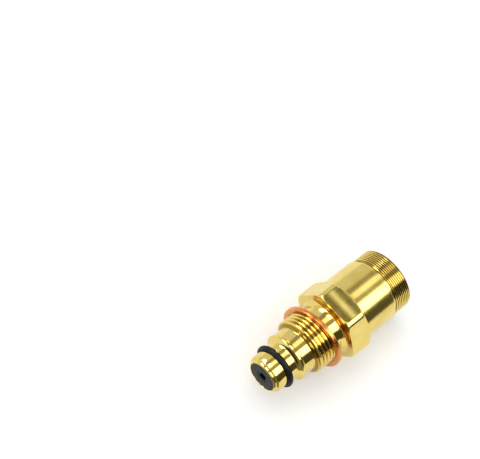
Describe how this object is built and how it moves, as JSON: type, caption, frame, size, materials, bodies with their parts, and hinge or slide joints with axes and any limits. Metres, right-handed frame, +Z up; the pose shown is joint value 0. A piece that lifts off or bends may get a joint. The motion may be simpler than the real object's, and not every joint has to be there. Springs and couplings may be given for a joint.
{
  "type": "screw-in hydraulic cartridge",
  "caption": "Brass screw-in cartridge with a sprung sensing piston and magnet, sealed nose, port thread, wrench hexagon, copper seal washer and a threaded socket end for a sensor head.",
  "frame": {"origin": "on the cartridge's axis, at the middle of the full port thread", "axes": "+X along the axis towards the nose, +Z up, with one flat of the hexagon facing down"},
  "size_m": [0.0577, 0.0268, 0.024],
  "materials": {
    "brass": "turned and drawn brass",
    "copper": null,
    "rubber": "smooth black rubber",
    "dark_plastic": "matte dark grey",
    "white_plastic": "matte white",
    "steel": "turned stainless steel",
    "dark_steel": "black-oxide steel",
    "magnet": "plated magnet"
  },
  "bodies": {
    "cartridge": {"cartridge_body": "brass", "inlet_plug": "dark_plastic", "nose_oring": "rubber", "spring_seat": "steel", "return_spring": "steel"},
    "piston": {"piston": "dark_steel", "piston_ring": "white_plastic", "magnet_carrier": "white_plastic", "magnet": "magnet", "magnet_cap": "white_plastic"},
    "washer": {"sealing_washer": "copper"}
  },
  "joints": [
    {"name": "piston_slide", "type": "slide", "parent": "cartridge", "child": "piston", "axis": [-1, 0, 0], "range_m": [0, 0.004], "stiffness_N_per_m": 1990, "springref_m": -0.006, "deforming": ["return_spring"]},
    {"name": "washer_slide", "type": "slide", "parent": "cartridge", "child": "washer", "axis": [1, 0, 0], "range_m": [-0.0041, 0.0265]}
  ]
}
